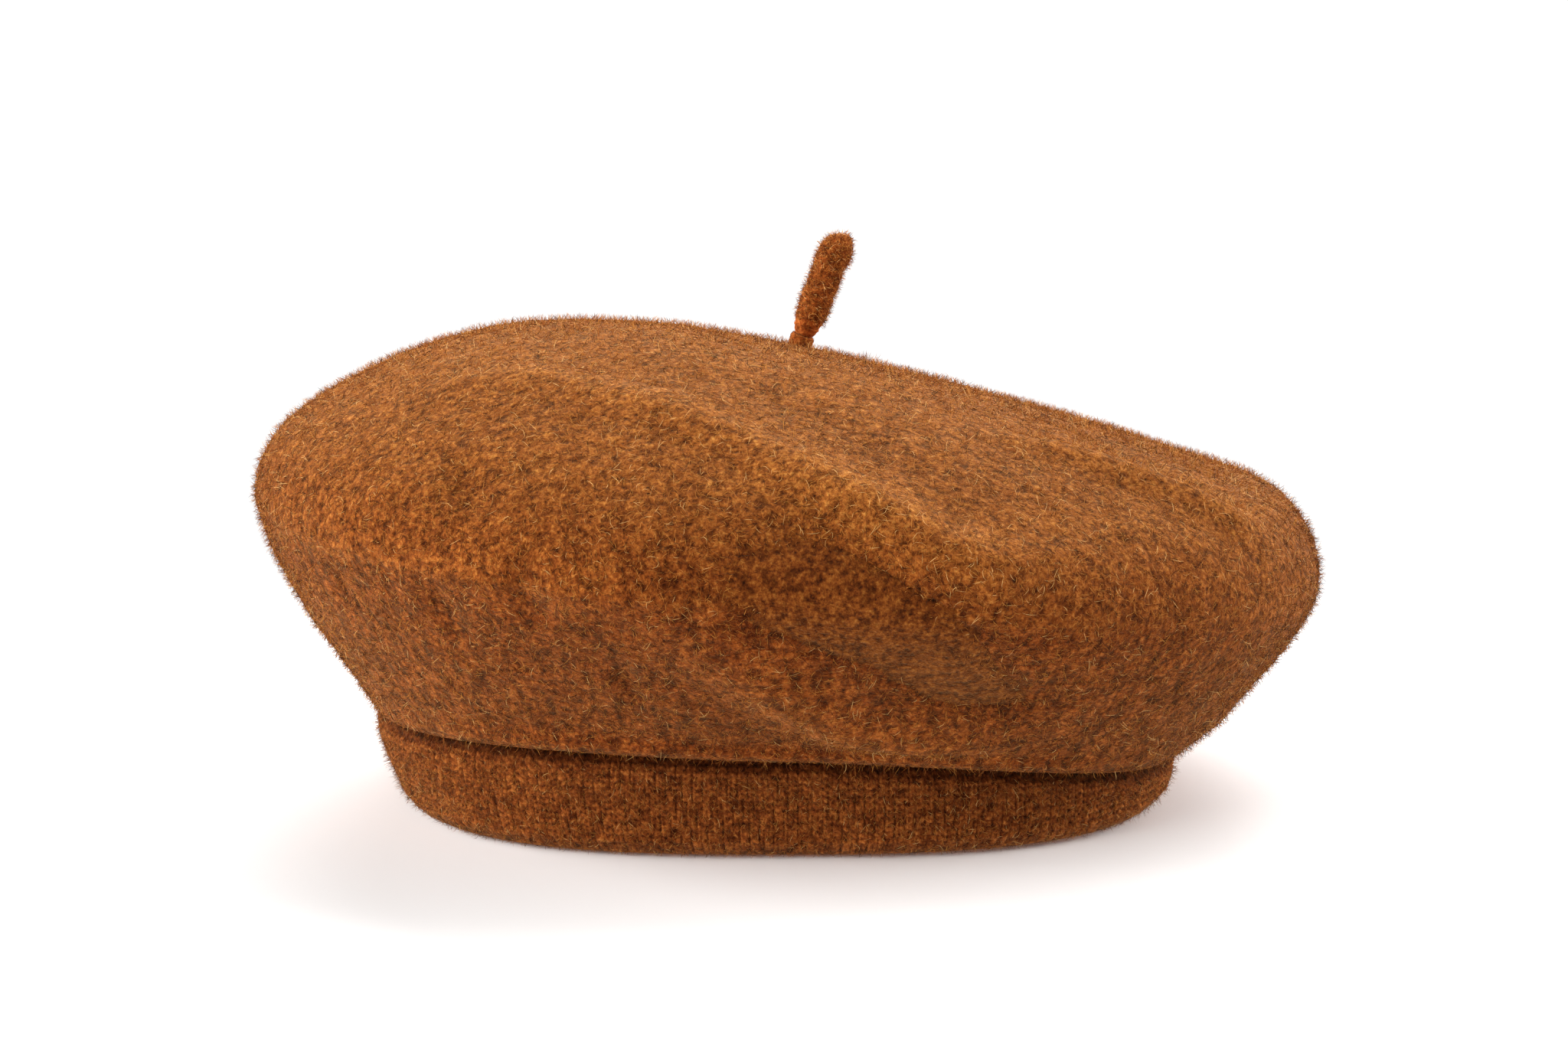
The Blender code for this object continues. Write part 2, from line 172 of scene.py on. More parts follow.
STEM_BARE = (0.0034, 0.0046)  # distance from the pivot over which its nap sets in
SEAT_GAP = 0.0003
SEAT_TURNS = (-40, -66)  # where the cup starts and ends, in degrees from level with the pivot
SEAT_CUP_POINTS = 12
SEAT_SKIRT = ((0.0015, -0.0066), (0.0025, -0.0066), (0.0029, -0.0061), (0.0029, -0.0050),
              (0.0029, -0.0040), (0.0029, -0.0032), (0.0029, -0.0027), (0.0028, -0.0024))
SEAT_OUTSIDE = np.array([1.0] * 6 + [0.0] * 14)  # which points of its profile are its outer side
SEAT_RIPPLE = (0.02, 12)  # share of its radius, and noise seed
WHIP_RADIUS = 0.00305
WHIP_TUBE = 0.00022
WHIP_TALL = 1.5  # its height over its thickness
WHIP_RIPPLE = (0.03, 13)
RING_LUMP = 0.0015

NO_TRIANGLES = np.zeros((0, 3), int)

SEED = 11

# Lumps of the felt: height, size, noise seed
CROWN_LUMPS = ((0.0007, 0.030, 1), (0.00035, 0.011, 2), (0.00024, 0.0045, 3), (0.00016, 0.0028, 14))

# Folds of the crown: name, half width, height, and points in millimetres. A negative height is a valley.
MILLIMETRES = 1000
FOLDS = (
    ("crest left", 0.0070, 0.0026,
     ((-91, -53, 106), (-63, -61, 112), (-26, -84, 108), (3, -102, 98), (18, -112, 90))),
    ("crest right", 0.0085, 0.0056,
     ((4, -103, 97), (20, -112, 89), (34, -118, 81), (48, -116, 77), (66, -106, 77))),
    ("crest valley", 0.0085, -0.0014, ((-34, -58, 112), (-5, -70, 110), (21, -90, 100), (40, -99, 92))),
    ("front hollow", 0.0130, -0.0062, ((-16, -124, 76), (4, -125, 74), (24, -123, 66), (42, -115, 58))),
    ("front swell", 0.0090, 0.0038,
     ((-22, -118, 60), (-5, -109, 48), (12, -97, 36), (31, -90, 30), (49, -85, 27))),
    ("low hollow", 0.0090, -0.0030, ((22, -116, 56), (40, -106, 46), (62, -98, 42))),
    ("right crest", 0.0055, 0.0044, ((48, -66, 100), (78, -65, 89), (104, -63, 77), (114, -52, 73))),
    ("right valley", 0.0075, -0.0032, ((62, -20, 96), (92, -43, 85), (112, -46, 76))),
    ("left fold 1", 0.0040, -0.0013, ((-106, -77, 71), (-105, -71, 58))),
    ("left fold 2", 0.0045, -0.0015, ((-84, -101, 72), (-75, -95, 55))),
    ("left fold 3", 0.0050, -0.0015, ((-62, -113, 78), (-58, -112, 62))),
    ("left fold 4", 0.0050, -0.0014, ((-78, -88, 98), (-71, -105, 86))),
    ("front streak", 0.0030, -0.0014, ((-40, -108, 54), (-36, -98, 41))),
    ("back crest", 0.0080, 0.0022, ((70, 62, 90), (36, 96, 85), (-8, 108, 84), (-52, 98, 88))),
    ("back valley", 0.0080, -0.0016, ((58, 50, 97), (26, 78, 96), (-14, 86, 96))),
    ("back hollow", 0.0120, -0.0026, ((48, 106, 58), (12, 117, 54), (-26, 115, 56))),
    ("back fold 1", 0.0045, -0.0013, ((-82, 92, 68), (-74, 84, 50))),
    ("back fold 2", 0.0045, -0.0013, ((86, 86, 60), (78, 78, 42))),
    ("right fold", 0.0050, -0.0012, ((124, -20, 60), (112, -18, 38))),
    ("left fold 5", 0.0050, -0.0012, ((-126, 24, 72), (-116, 22, 50))),
)

# Nap
FIBRE_STEPS = np.array([0.0, 0.34, 0.70, 1.0])
FIBRE_TAPER = np.array([1.0, 0.85])
FIBRE_CURL = 0.22
LOOSE_BEND = 1.2
FLAT_SINK = 0.25  # how deep a flat fibre's ends sink, of its rise
LIFT_RANGE = (0.4, 1.5)
CROWN_FIBRES = 150000
BAND_FIBRES = 22000
STEM_FIBRES = 5200
TUFT_PLACE = (0.0200, 0.0350, 0.0997)  # a small snag in the felt to the right of the stem
TUFT_SIZE = 0.0016
TUFT_FIBRES = 70
SEAT_FIBRES = 420
MOST_FIBRES = 16000  # in one piece, so that its mesh stays light
PALE_LENGTH = 1.3  # how much longer the pale fibres are
FREE_LENGTH = 0.75  # a loose end's length over a flat fibre's
FREE_RISE = 3.3  # how much higher a loose end stands than a fibre that lies down
# Name, share of all fibres, how much more of them there are on crests than in hollows, and colour. The dark
# ones gather in hollows and on the crown's wall as painted shade.
SHADES = (
    ("dark", 0.24, -1.3, (0.030, 0.006, 0.0015)),
    ("russet", 0.24, -0.5, (0.20, 0.046, 0.009)),
    ("orange", 0.28, 0.3, (0.38, 0.112, 0.018)),
    ("ochre", 0.20, 0.7, (0.57, 0.226, 0.042)),
    ("pale", 0.04, 0.6, (0.80, 0.460, 0.160)),
)

# Each nap's settings. Sizes are the fibres' lengths and radii, from the least to the most.
CROWN_NAP = {"sizes": ((0.0012, 0.0034), (0.00004, 0.00007))}
BAND_NAP = {"sizes": ((0.0010, 0.0026), (0.000035, 0.00006)), "along": 0.6}
TUFT_NAP = {"sizes": ((0.0012, 0.0024), (0.00003, 0.00005)), "free_share": 1.0, "rise": 0.0008}
SEAT_NAP = {"sizes": ((0.0008, 0.0016), (0.000035, 0.00006)), "along": 0.4, "free_share": 0.0,
            "rise": 0.0002}
STEM_NAP = {"sizes": ((0.0008, 0.0020), (0.000035, 0.00006)), "along": 0.3, "rise": 0.00035}
FIBRE_BRIGHTNESS = {"crown": 1.0, "headband": 0.75, "tuft": 1.1, "seat": 1.2, "stem": 1.35}

# Colours, as places on a ramp and the colour there
CROWN_STOPS = ((0.28, (0.040, 0.009, 0.002)), (0.42, (0.25, 0.066, 0.012)),
               (0.55, (0.43, 0.132, 0.022)), (0.70, (0.68, 0.290, 0.060)))
BAND_STOPS = ((0.28, (0.04, 0.008, 0.002)), (0.42, (0.21, 0.048, 0.010)),
              (0.55, (0.35, 0.092, 0.017)), (0.70, (0.56, 0.195, 0.040)))
STEM_STOPS = ((0.25, (0.16, 0.032, 0.007)), (0.42, (0.40, 0.092, 0.017)),
              (0.56, (0.56, 0.150, 0.027)), (0.74, (0.74, 0.265, 0.060)))
# Nubs: painted shade between them, and lighter tops
NUB_SHADE_STOPS = ((0.34, (0.36, 0.29, 0.24)), (0.52, (0.95, 0.92, 0.90)), (0.66, (1.15, 1.20, 1.20)))
# The crown's relief: painted shade darkens its hollows, and its crests are paler where rubbed
RELIEF_SHADE_AND_WEAR_STOPS = ((0.0, (0.60, 0.52, 0.45)), (0.5, (1.0, 1.0, 1.0)), (1.0, (1.25, 1.40, 1.50)))
# The crown's wall is painted darker and more saturated than its top: painted shade
WALL_SHADE_STOPS = ((0.0, (1.0, 1.0, 1.0)), (1.0, (0.94, 0.72, 0.64)))
YARN_STOPS = ((0.30, (0.11, 0.028, 0.007)), (0.50, (0.21, 0.063, 0.014)), (0.72, (0.30, 0.110, 0.028)))
TAPE_STOPS = ((0.3, (0.50, 0.44, 0.34)), (0.5, (0.62, 0.56, 0.45)), (0.7, (0.74, 0.69, 0.58)))
STREAK_STOPS = ((0.36, (0.50, 0.42, 0.38)), (0.58, (1.0, 1.0, 1.0)))
# Knit: painted shade in the gaps between stitches, under the crown's roll and at the floor
STITCH_SHADE_STOPS = ((0.05, (0.38, 0.32, 0.30)), (0.55, (1.0, 1.0, 1.0)))
PATCH_PLACES = (0.30, 0.70)
CROWN_PATCH = (0.78, 0.72, 0.68)  # what the colour is multiplied by in the darkest patches
BAND_PATCH = (0.80, 0.76, 0.72)
STEM_PATCH = (0.70, 0.64, 0.60)
YARN_PATCH = (0.85, 0.82, 0.80)
TAPE_PATCH = (0.92, 0.90, 0.88)

# Noise of the wool: scale, detail and roughness
PATCH_NOISE = (60.0, 3.0, 0.6)
NUB_NOISE = (420.0, 3.0, 0.6)
STREAK_NOISE = (420.0, 2.0, 0.5)
FIBRE_NOISE = (1800.0, 3.0, 0.7)
HEATHER_NOISE = (4.0, 0.68)  # detail and roughness only
WOOL_HEATHER = 900.0  # scales
STEM_HEATHER = 1100.0
YARN_HEATHER = 1500.0
TAPE_HEATHER = 1600.0

# Finish of the wool
SPECULAR = 0.05
SHEEN_ROUGHNESS = 0.45
WOOL_ROUGHNESS = 0.95
WOOL_SHEEN_TINT = (1.0, 0.66, 0.30)
WOOL_SHEEN = 0.14
CROWN_SHEEN = 0.24
TAPE_SHEEN = 0.1
FIBRE_ROUGHNESS = 0.9
FIBRE_SHEEN = 0.14
FIBRE_SHEEN_TINT = (1.0, 0.72, 0.36)
NUB_BUMP = 0.0008
FINE_BUMP = 0.45  # depth of the fibres' bump over the nubs'
THREAD_BUMP = 0.0002

# Camera
CAMERA_TARGET = Vector((-0.001, 0.0, 0.065))
CAMERA_DISTANCE = 1.2
CAMERA_ELEVATION = math.radians(11.5)
CAMERA_LENS = 109.7
CAMERA_SENSOR = 36.0

# Wide soft lights: name, azimuth from the front to the right, elevation, and what each gives a
# surface that faces it
SOFTBOXES = (
    ("left_low", 252, 13, 0.62),
    ("left_high", 275, 38, 0.36),
    ("front_left", 304, 26, 0.84),
    ("back", 178, 40, 0.80),
    ("back_low", 160, 10, 0.40),
    ("back_right", 130, 50, 0.44),
    ("right", 104, 20, 0.94),
)
SOFTBOX_SPREAD = math.radians(40)

# Surround: place from straight down (0) to straight up (1), and brightness
WORLD_STOPS = ((0.0, 1.22), (0.46, 1.22), (0.485, 1.15), (0.53, 1.05), (0.56, 0.06), (1.0, 0.04))

# Floor
FLOOR_GLOW = 0.03
FLOOR_LIGHT_FALLOFF = (0.12, 0.26)  # how far behind the hat the paper is painted darker, a painted falloff of light, so that it doesn't outshine the nap
FLOOR_FALLOFF_STOPS = ((0.0, (0.97, 0.96, 0.95)), (1.0, (0.50, 0.50, 0.50)))
FLOOR_ROUGHNESS = 0.9
FLOOR_REACH = 30.0
FLOOR_DROP = 0.0004


# ---------------------------------------------------------------- formulas

def smooth(low, high, value):
    share = np.clip((value - low) / (high - low), 0, 1)
    return share * share * (3 - 2 * share)


def outline(angle, half, power, outward=0.0):
    c, s = np.cos(angle), np.sin(angle)
    x = (half[0] + outward) * np.sign(c) * np.abs(c) ** (2 / power)
    y = (half[1] + outward) * np.sign(s) * np.abs(s) ** (2 / power)
    return x, y


def band_point(angle, outward, height):
    x, y = outline(angle, BAND_HALF, BAND_POWER, outward)
    lean = BAND_LEAN * np.clip(-x / BAND_HALF[0], 0, 1) ** 2 * (1 - smooth(*LEAN_RANGE, height))
    return np.stack(np.broadcast_arrays(x + BAND_X + lean, y, height), -1)


def sided(power, angle):
    return power[0] + power[1] * np.cos(angle)


def roll_height(angle):
    c = np.cos(angle)
    return ROLL_HEIGHT - ROLL_SIDE_DROP * c * c - ROLL_LEAN * c


def crown_top(angle, share):
    x, y = outline(angle, CROWN_HALF, RIM_POWER)
    pole = 1 - share * share
    dome = DOME_HEIGHT * np.clip(1 - share ** sided(DOME_INNER, angle), 0, 1) ** sided(DOME_OUTER, angle)
    tilt = (TILT[0] * np.cos(angle) + TILT[1] * np.sin(angle)) * np.sin(TILT_TURN * share)
    return np.stack([x * share + POLE[0] * pole, y * share + POLE[1] * pole, RIM_HEIGHT + dome - tilt], -1)


def roll_point(angle, turn):
    outward = -PINCH + GAP + ROLL_RADIUS * (1 + np.cos(turn))
    return band_point(angle, outward, roll_height(angle) + ROLL_RADIUS * (1 + np.sin(turn)))


def crown_under(angle, share):
    rim = crown_top(angle, np.ones_like(share))
    foot = roll_point(angle, ROLL_START + 0 * share)
    point = foot + (rim - foot) * (1 - share ** sided(UNDER_POWER, angle))[..., None]
    point[..., 2] = rim[..., 2] + (foot[..., 2] - rim[..., 2]) * share
    return point


def seam_edge(angle, height):
    return band_point(angle, GAP - PINCH, height)


def pole_frame():
    """The crown's middle and its upward normal there."""
    around = np.array([0.0, math.pi, math.pi / 2, -math.pi / 2])
    right, left, back, front = crown_top(around, np.full(4, HOLE_SHARE))
    normal = Vector(np.cross(right - left, back - front)).normalized()
    return Vector(crown_top(np.array(0.0), np.array(0.0))), normal


# ---------------------------------------------------------------- mesh tools

def normals_of(grid):
    """Outward normals of a grid of points, closed along its first axis."""
    across = np.roll(grid, -1, 0) - np.roll(grid, 1, 0)
    along = np.gradient(grid, axis=1)
    normal = np.cross(along, across)
    return normal / np.maximum(np.linalg.norm(normal, axis=-1, keepdims=True), 1e-12)


def mesh_from(name, points, quads, triangles, material):
    data = bpy.data.meshes.new(name)
    loops = np.concatenate([quads.ravel(), triangles.ravel()]).astype(np.int32)
    sizes = np.concatenate([np.full(len(quads), 4), np.full(len(triangles), 3)])
    starts = np.concatenate([[0], np.cumsum(sizes)[:-1]]).astype(np.int32)
    data.vertices.add(len(points))
    data.vertices.foreach_set("co", points.astype(np.float32).ravel())
    data.loops.add(len(loops))
    data.loops.foreach_set("vertex_index", loops)
    data.polygons.add(len(sizes))
    data.polygons.foreach_set("loop_start", starts)
    data.update(calc_edges=True)
    data.validate()
    data.shade_smooth()
    data.materials.append(material)
    obj = bpy.data.objects.new(name, data)
    bpy.context.scene.collection.objects.link(obj)
    return obj


def grid_quads(count, rows, first, flip):
    """Quads of a grid that is closed along its first axis."""
    i, j = np.meshgrid(np.arange(count), np.arange(rows - 1), indexing="ij")
    after = (i + 1) % count
    corners = [i * rows + j, i * rows + j + 1, after * rows + j + 1, after * rows + j]
    quads = np.stack(corners, -1).reshape(-1, 4)
    return first + (quads[:, ::-1] if flip else quads)


def shell(name, smooth_grid, fine_grid, thickness, material):
    """A closed cloth: fine_grid outside, and a plain inside at this distance under smooth_grid."""
    count, rows = fine_grid.shape[:2]
    kept = sorted({*range(0, rows, LINING_STEP), rows - 1})
    inner = (smooth_grid - thickness * normals_of(smooth_grid))[:, kept]
    points = np.concatenate([fine_grid.reshape(-1, 3), inner.reshape(-1, 3)])
    first = count * rows
    here = np.arange(count)
    after = (here + 1) % count
    ends = []
    for outer_row, inner_row, flip in ((0, 0, True), (rows - 1, len(kept) - 1, False)):
        out_here, out_after = here * rows + outer_row, after * rows + outer_row
        in_here, in_after = first + here * len(kept) + inner_row, first + after * len(kept) + inner_row
        quad = np.stack([out_here, in_here, in_after, out_after], -1)
        ends.append(quad[:, ::-1] if flip else quad)
    outside = grid_quads(count, rows, 0, False)
    inside = grid_quads(count, len(kept), first, True)
    return mesh_from(name, points, np.concatenate([outside, inside, *ends]), NO_TRIANGLES, material)


def set_attribute(obj, name, values, kind):
    """Stores values of the outer grid on a shell's points. The inside gets zeros."""
    attribute = obj.data.attributes.new(name, kind, "POINT")
    width = 3 if kind == "FLOAT_VECTOR" else 1
    everything = np.zeros((len(obj.data.vertices), width), np.float32)
    outer = values.reshape(-1, width)
    everything[:len(outer)] = outer
    attribute.data.foreach_set("vector" if width == 3 else "value", everything.ravel())


def lumps(points, size, seed):
    """Smooth noise from -1 to 1 at each point, with bumps of about this size."""
    offset = Vector((seed * 17.0, seed * 5.0, seed * 11.0))
    flat = (points / size).reshape(-1, 3)
    values = np.array([noise.noise(Vector(point) + offset) for point in flat])
    return values.reshape(points.shape[:-1])


def lumps_of(points, kind):
    """Noise of a kind given as height, size and noise seed."""
    height, size, seed = kind
    return height * lumps(points, size, seed)


def distance_along(points, path):
    """Distance to a path in metres, and how far along it the nearest place is, from 0 to 1."""
    best = np.full(points.shape[:-1], 1e9)
    where = np.zeros(points.shape[:-1])
    for number, (a, b) in enumerate(zip(path, path[1:])):
        step = b - a
        share = np.clip(((points - a) @ step) / (step @ step), 0, 1)
        away = np.linalg.norm(points - a - share[..., None] * step, axis=-1)
        closer = away < best
        best = np.where(closer, away, best)
        where = np.where(closer, (number + share) / (len(path) - 1), where)
    return best, where


# ---------------------------------------------------------------- crown

def crown_grid():
    angles = np.linspace(0, 2 * math.pi, CROWN_COLUMNS, endpoint=False)
    top = np.sin(np.linspace(math.asin(HOLE_SHARE), math.pi / 2, CROWN_TOP_ROWS))
    under = np.linspace(0, 1, CROWN_UNDER_ROWS + 1)[1:]
    roll = np.linspace(ROLL_START, -math.pi, ROLL_ROWS + 1)[1:]
    parts = [function(*np.meshgrid(angles, values, indexing="ij"))
             for function, values in ((crown_top, top), (crown_under, under), (roll_point, roll),
                                      (seam_edge, np.array([BAND_HEIGHT])))]
    reach = np.concatenate([top, 1 + under, np.full(ROLL_ROWS + 1, 2.0)])
    return np.concatenate(parts, 1), angles, reach


def side_weight(angles, middle, width):
    """1 at this bearing, falling to 0 at width away from it, all in degrees."""
    away = np.abs((np.degrees(angles) - middle + 180) % 360 - 180)
    return 1 - smooth(0, width, away)


def band_weight(reach, middle, width):
    """1 at this reach, falling softly to 0 on both sides."""
    return np.exp(-((reach - middle) / width) ** 2)


def fitted(grid, angles, reach):
    """The small fullness of the shoulders, the left rim and the sides' undersides."""
    right, left, front = (side_weight(angles, *side)[:, None] for side in
                          (RIGHT_SIDE, LEFT_SIDE, FRONT_SIDE))
    shoulder, rim, low, foot, lip = (band_weight(reach, *band) for band in
                                     (SHOULDER_BAND, RIM_BAND, LOW_BAND, FOOT_BAND, LIP_BAND))
    out = grid.copy()
    out[..., 2] += (SHOULDER_RISE * right * shoulder + LEFT_RIM_RISE * left * rim
                    - LEFT_LOW_DROP * left * low)
    out[..., 0] += RIGHT_FOOT_FULLNESS * right * foot
    out[..., 2] -= MIDDLE_DROP * (1 - smooth(*MIDDLE_FADE, reach))
    out[..., 1] -= LIP_FORWARD * front * (lip * (reach < 2))
    return out


def folded(grid, reach):
    """The crown's folds and soft lumps, along its normals, with none by the stem and the band."""
    normal = normals_of(grid)
    free = smooth(*FOLDS_START, reach) * (1 - smooth(*FOLDS_STOP, reach))
    height = np.zeros(grid.shape[:-1])
    for _, half_width, rise, path in FOLDS:
        away, along = distance_along(grid, np.array(path) / MILLIMETRES)
        wave = math.pi * (FOLD_END + (1 - 2 * FOLD_END) * along)
        height += rise * np.exp(-((away / half_width) ** 2)) * np.sin(wave)
    for kind in CROWN_LUMPS:
        height += lumps_of(grid, kind)
    return grid + normal * (height * free)[..., None], height * free


def make_crown(material):
    plain, angles, reach = crown_grid()
    base = fitted(plain, angles, reach)
    fine, height = folded(base, reach)
    crown = shell("beret_crown", base, fine, FELT, material)
    path = np.cumsum(np.linalg.norm(np.diff(fine, axis=1, prepend=fine[:, :1]), axis=-1), axis=1)
    around = np.stack([np.cos(angles), np.sin(angles)], -1)[:, None] * CROWN_HALF[0]
    around = np.broadcast_to(around, (*path.shape, 2))
    cloth = np.concatenate([around, WALE_STRETCH * path[..., None]], -1)
    wall = smooth(*WALL_REACH, reach)
    relief = np.clip(height / RELIEF_SPAN, -1, 1)
    set_attribute(crown, "cloth", cloth, "FLOAT_VECTOR")
    set_attribute(crown, "wall", np.broadcast_to(wall, path.shape), "FLOAT")
    # relief gives painted shade in the hollows and paler rubbed crests
    set_attribute(crown, "relief", 0.5 + 0.5 * relief, "FLOAT")
    # the nap's tone: dark fibres gather in the hollows and on the wall as painted shade
    return crown, fine, reach, relief - WALL_SHADE_TONE * wall


# ---------------------------------------------------------------- headband

def even_angles(count):
    """Angles that are evenly spaced along the headband's outline."""
    fine = np.linspace(0, 2 * math.pi, OUTLINE_STEPS)
    points = band_point(fine, 0.0, 0.0)
    length = np.concatenate([[0], np.cumsum(np.linalg.norm(np.diff(points, axis=0), axis=1))])
    return np.interp(np.arange(count) / count * length[-1], length, fine)


def leaf_height(angle, level):
    """Height on the outer leaf: level 0 is its foot, 1 and 2 the pinch under the roll, 3 its top edge."""
    roll = roll_height(angle)
    known = (LEAF_FOOT, roll - PINCH_BELOW, roll + PINCH_ABOVE, BAND_HEIGHT)
    heights = np.stack(np.broadcast_arrays(*known), -1)
    lower = np.minimum(level.astype(int), 2)[..., None]
    low = np.take_along_axis(heights, lower, -1)[..., 0]
    high = np.take_along_axis(heights, lower + 1, -1)[..., 0]
    return low + (high - low) * (level - lower[..., 0])


def band_face(angle, level):
    height = leaf_height(angle, level)
    taper = FOOT_TAPER * (1 - smooth(*FOOT_TAPER_HEIGHTS, height))
    return band_point(angle, -PINCH * smooth(1.0, 2.0, level) - taper, height)


def band_grid():
    angles = even_angles(WALES * COLUMNS_A_WALE)
    hidden = np.linspace(3, 2, HIDDEN_ROWS, endpoint=False)
    pinch = np.linspace(2, 1, PINCH_ROWS, endpoint=False)
    levels = np.concatenate([hidden, pinch, np.linspace(1, 0, OPEN_ROWS)])
    outer = band_face(*np.meshgrid(angles, levels, indexing="ij"))
    turned_in = [*HEM_FOLD, *((INNER_FACE, height) for height in INNER_LEAF)]
    inside = np.stack([band_point(angles, outward, height) for outward, height in turned_in], 1)
    return np.concatenate([outer, inside], 1), angles, len(levels) + FOOT_ROWS


def knitted(grid, outer_rows):
    """Plain knit: each wale is a column of Vs, two slanting legs a stitch."""
    columns, rows = grid.shape[:2]
    wale = np.arange(columns)[:, None] / COLUMNS_A_WALE
    course = grid[..., 2] / COURSE_HEIGHT + lumps_of(grid, COURSE_DRIFT)
    across = 2 * np.abs((wale + lumps_of(grid, WALE_DRIFT)) % 1.0 - 0.5)
    leg = np.sin(math.pi * np.clip(across, 0, 1)) ** LEG_ROUNDING
    beat = 0.5 + 0.5 * np.cos(2 * math.pi * (course + LEG_SLANT * across))
    stitch = leg * (LEG_LOW + (1 - LEG_LOW) * beat)
    height = STITCH_HEIGHT * (stitch - STITCH_MIDDLE)
    height += sum(lumps_of(grid, lump) for lump in KNIT_LUMPS)
    shown = np.zeros(rows)
    shown[:outer_rows] = 1.0
    shown[outer_rows:outer_rows + len(KNIT_FADE)] = KNIT_FADE
    seated = smooth(0.0, KNIT_SEAT, grid[..., 2])
    fine = grid + normals_of(grid) * (height * shown * seated)[..., None]
    forward = np.clip(-grid[..., 1] / BAND_HALF[1], 0, 1) * (1 - smooth(0.0, FOOT_SAG_HEIGHT, grid[..., 2]))
    fine[..., 1] -= FOOT_SAG * forward * shown
    outward = grid[..., :2] / np.linalg.norm(grid[..., :2], axis=-1, keepdims=True)
    tuck = FOOT_TUCK * (1 - smooth(0.0, FOOT_ROUND, grid[..., 2])) * shown
    fine[..., :2] -= outward * tuck[..., None]
    return fine, stitch


def openness(angles, grid):
    """1 where the headband is out in the light, less under the crown's rolled edge and at the floor, where
    its knit gets painted shade.
    """
    lip = roll_height(angles)[:, None]
    under_lip = smooth(lip - CREASE_SHADE_DEPTH, lip - CREASE_SHADE_EDGE, grid[..., 2])
    return (1 - under_lip) * (FOOT_SHADE + (1 - FOOT_SHADE) * smooth(0.0, FOOT_ROUND, grid[..., 2]))


def make_headband(material):
    base, angles, outer_rows = band_grid()
    fine, stitch = knitted(base, outer_rows)
    band = shell("beret_headband", base, fine, BAND_CLOTH, material)
    lit_share = openness(angles, base)
    # painted shade under the crown's roll and at the floor, on top of the stitches' own
    set_attribute(band, "stitch", stitch * lit_share, "FLOAT")
    return band, fine[:, :outer_rows], lit_share[:, :outer_rows]


# ---------------------------------------------------------------- stem

def stem_axes():
    """The stem's pivot, and its three directions as rows: right, back and up along the stem."""
    middle, normal = pole_frame()
    axes = np.array([[math.cos(STEM_LEAN), 0, -math.sin(STEM_LEAN)], [0, 1, 0],
                     [math.sin(STEM_LEAN), 0, math.cos(STEM_LEAN)]])
    return np.array(middle + normal * PIVOT_RISE), axes


def stem_outline():
    """Heights and radii along the stem, evenly spaced and softened."""
    known = np.array(STEM_PROFILE)
    travel = np.concatenate([[0], np.cumsum(np.linalg.norm(np.diff(known, axis=0), axis=1))])
    at = np.linspace(0, travel[-1], STEM_ROWS)
    height, radius = np.interp(at, travel, known[:, 0]), np.interp(at, travel, known[:, 1])
    for _ in range(STEM_SOFTENING):
        for values in (height, radius):
            values[1:-1] = (values[:-2] + 2 * values[1:-1] + values[2:]) / 4
    radius[[0, -1]] = STEM_END_RADIUS
    return height, radius


def stem_grid():
    """The stem round its own axis: a lumpy felt roll, cut obliquely at its tip."""
    height, radius = stem_outline()
    turn = np.linspace(0, 2 * math.pi, STEM_SIDES, endpoint=False)
    turn, height = np.meshgrid(turn, height, indexing="ij")
    local = np.stack([radius * np.cos(turn), radius * np.sin(turn), height], -1)
    local[..., 2] += STEM_CUT * smooth(*STEM_CUT_HEIGHTS, height) * (local[..., 0] / STEM_WIDTH)
    grown = 1 + sum(lumps_of(local, lump) for lump in STEM_LUMPS)
    grown = np.where(height > STEM_ROOT_HEIGHT, grown, np.minimum(grown, 1.0))
    local[..., :2] *= grown[..., None]
    local[..., 0] += STEM_KINK * smooth(*STEM_KINK_START, height) * (1 - smooth(*STEM_KINK_STOP, height))
    return local


def make_stem(material):
    pivot, axes = stem_axes()
    grid = (stem_grid() @ axes + pivot)[:, ::-1]
    count, rows = grid.shape[:2]
    ends = np.array([grid[:, 0].mean(0), grid[:, -1].mean(0)])
    first = count * rows
    here = np.arange(count)
    after = (here + 1) % count
    root = np.stack([np.full(count, first), here * rows, after * rows], -1)
    tip = np.stack([np.full(count, first + 1), after * rows + rows - 1, here * rows + rows - 1], -1)
    points = np.concatenate([grid.reshape(-1, 3), ends])
    quads = grid_quads(count, rows, 0, False)
    stem = mesh_from("beret_stem", points, quads, np.concatenate([root, tip]), material)
    return stem, grid, pivot


def ring_of(name, profile, sides, ripple, material):
    """A closed ring round the stem's axis from a closed profile of (radius, height)."""
    pivot, axes = stem_axes()
    turn = np.linspace(0, 2 * math.pi, sides, endpoint=False)[:, None]
    radius, height = np.array(profile).T[:, None]
    local = np.stack(np.broadcast_arrays(radius * np.cos(turn), radius * np.sin(turn), height), -1)
    amount, seed = ripple
    local = local * (1 + lumps_of(local, (amount, RING_LUMP, seed)))[..., None]
    grid = local @ axes + pivot
    rows = len(profile)
    i, j = np.meshgrid(np.arange(sides), np.arange(rows), indexing="ij")
    after, below = (i + 1) % sides, (j + 1) % rows
    corners = [i * rows + j, i * rows + below, after * rows + below, after * rows + j]
    quads = np.stack(corners, -1).reshape(-1, 4)
    return mesh_from(name, grid.reshape(-1, 3), quads, NO_TRIANGLES, material), grid


